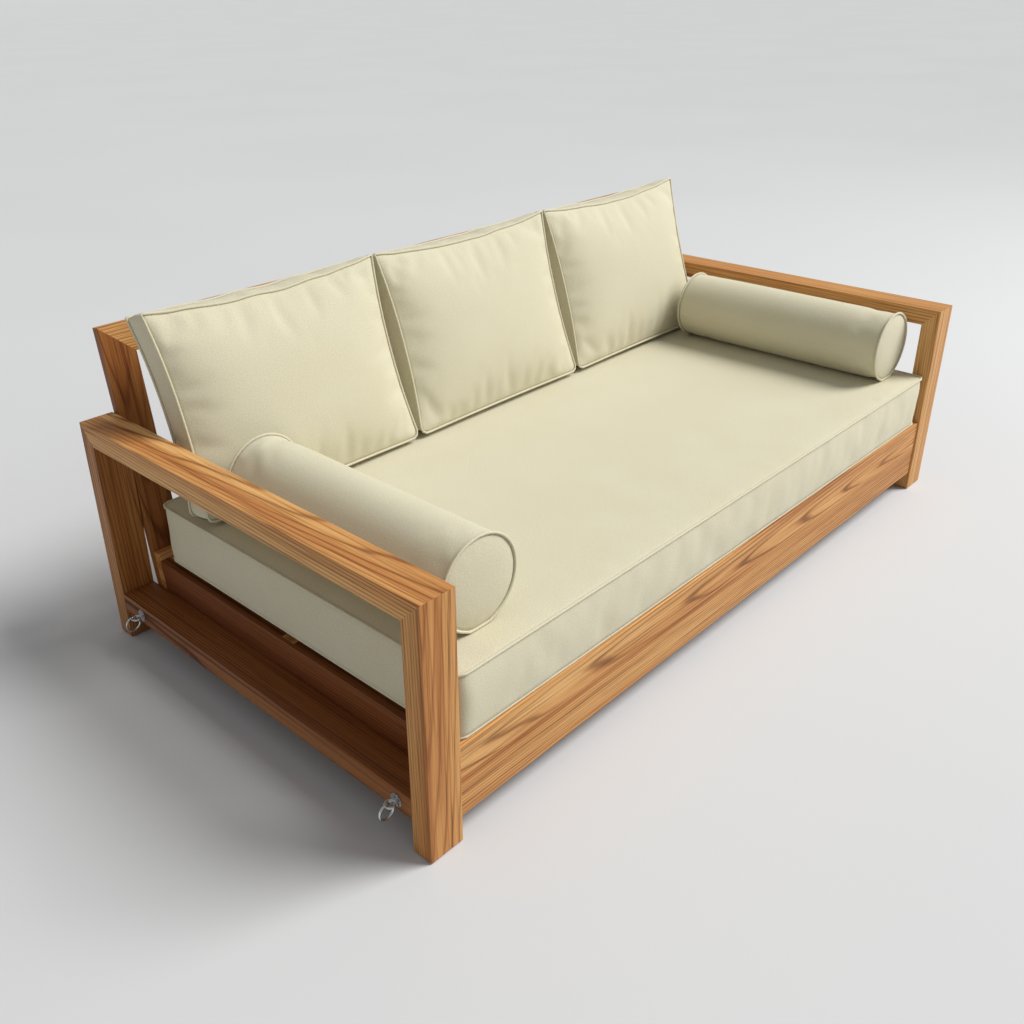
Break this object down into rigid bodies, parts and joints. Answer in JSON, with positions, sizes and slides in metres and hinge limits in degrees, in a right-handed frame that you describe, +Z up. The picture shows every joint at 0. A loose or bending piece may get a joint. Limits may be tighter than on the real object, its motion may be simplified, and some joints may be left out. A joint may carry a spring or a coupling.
{
  "type": "daybed",
  "caption": "Teak daybed with open loop arms, reclined slatted back, boxed mattress, loose back cushions, bolsters and side rings.",
  "frame": {"origin": "on the floor, at the centre of the box round the whole daybed", "axes": "+X along the length, +Y towards the back frame, +Z up"},
  "size_m": [2.274, 1.171, 0.8562],
  "materials": {
    "teak": "oiled, fine grain lines along each board",
    "dowel_wood": "plain dowel",
    "cushion_fabric": "woven, matt",
    "polished_steel": "polished",
    "plated_steel": "plated",
    "glide_rubber": "matt"
  },
  "bodies": {
    "frame": {"left_arm_front_post": "teak", "left_arm_rear_post": "teak", "left_arm_top_rail": "teak", "left_arm_bottom_rail": "teak", "right_arm_front_post": "teak", "right_arm_rear_post": "teak", "right_arm_top_rail": "teak", "right_arm_bottom_rail": "teak", "front_lower_board": "teak", "front_upper_board": "teak", "rear_lower_board": "teak", "rear_upper_board": "teak", "left_side_rail": "teak", "right_side_rail": "teak", "cross_rail": "teak", "centre_beam": "teak", "front_cleat": "teak", "rear_cleat": "teak", "seat_slat_1": "teak", "seat_slat_2": "teak", "seat_slat_3": "teak", "seat_slat_4": "teak", "seat_slat_5": "teak", "seat_slat_6": "teak", "seat_slat_7": "teak", "seat_slat_8": "teak", "seat_slat_9": "teak", "seat_slat_10": "teak", "seat_slat_11": "teak", "seat_slat_12": "teak", "seat_slat_13": "teak", "back_left_stile": "teak", "back_right_stile": "teak", "back_top_rail": "teak", "back_bottom_rail": "teak", "back_slat_1": "teak", "back_slat_2": "teak", "back_slat_3": "teak", "back_slat_4": "teak", "back_slat_5": "teak", "back_slat_6": "teak", "back_slat_7": "teak", "back_slat_8": "teak", "eye_bolts": "polished_steel", "eye_bolt_nuts": "plated_steel", "foot_glides": "glide_rubber", "mitre_dowels": "dowel_wood", "slat_screws": "plated_steel", "back_screws": "plated_steel", "side_rail_screws": "plated_steel"},
    "mattress": {"mattress": "cushion_fabric"},
    "back_cushion_left": {"back_cushion_left": "cushion_fabric"},
    "back_cushion_middle": {"back_cushion_middle": "cushion_fabric"},
    "back_cushion_right": {"back_cushion_right": "cushion_fabric"},
    "bolster_left": {"bolster_left": "cushion_fabric"},
    "bolster_right": {"bolster_right": "cushion_fabric"},
    "ring_front_left": {"ring_front_left": "polished_steel"},
    "ring_rear_left": {"ring_rear_left": "polished_steel"},
    "ring_front_right": {"ring_front_right": "polished_steel"},
    "ring_rear_right": {"ring_rear_right": "polished_steel"}
  },
  "joints": [
    {"name": "mattress_lift", "type": "slide", "parent": "frame", "child": "mattress", "axis": [0, 0, 1], "range_m": [0, 0.2]},
    {"name": "back_cushion_left_lift", "type": "slide", "parent": "mattress", "child": "back_cushion_left", "axis": [0, 0, 1], "range_m": [0, 0.25]},
    {"name": "back_cushion_middle_lift", "type": "slide", "parent": "mattress", "child": "back_cushion_middle", "axis": [0, 0, 1], "range_m": [0, 0.25]},
    {"name": "back_cushion_right_lift", "type": "slide", "parent": "mattress", "child": "back_cushion_right", "axis": [0, 0, 1], "range_m": [0, 0.25]},
    {"name": "bolster_left_lift", "type": "slide", "parent": "mattress", "child": "bolster_left", "axis": [0, 0, 1], "range_m": [0, 0.25]},
    {"name": "bolster_right_lift", "type": "slide", "parent": "mattress", "child": "bolster_right", "axis": [0, 0, 1], "range_m": [0, 0.25]},
    {"name": "ring_front_left_swing", "type": "hinge", "parent": "frame", "child": "ring_front_left", "pos_m": [-1.117, -0.4955, 0.106], "axis": [0, 1, 0], "range_deg": [-3, 180]},
    {"name": "ring_rear_left_swing", "type": "hinge", "parent": "frame", "child": "ring_rear_left", "pos_m": [-1.117, 0.42452, 0.106], "axis": [0, 1, 0], "range_deg": [-3, 180]},
    {"name": "ring_front_right_swing", "type": "hinge", "parent": "frame", "child": "ring_front_right", "pos_m": [1.117, -0.4955, 0.106], "axis": [0, -1, 0], "range_deg": [-3, 180]},
    {"name": "ring_rear_right_swing", "type": "hinge", "parent": "frame", "child": "ring_rear_right", "pos_m": [1.117, 0.42452, 0.106], "axis": [0, -1, 0], "range_deg": [-3, 180]}
  ]
}
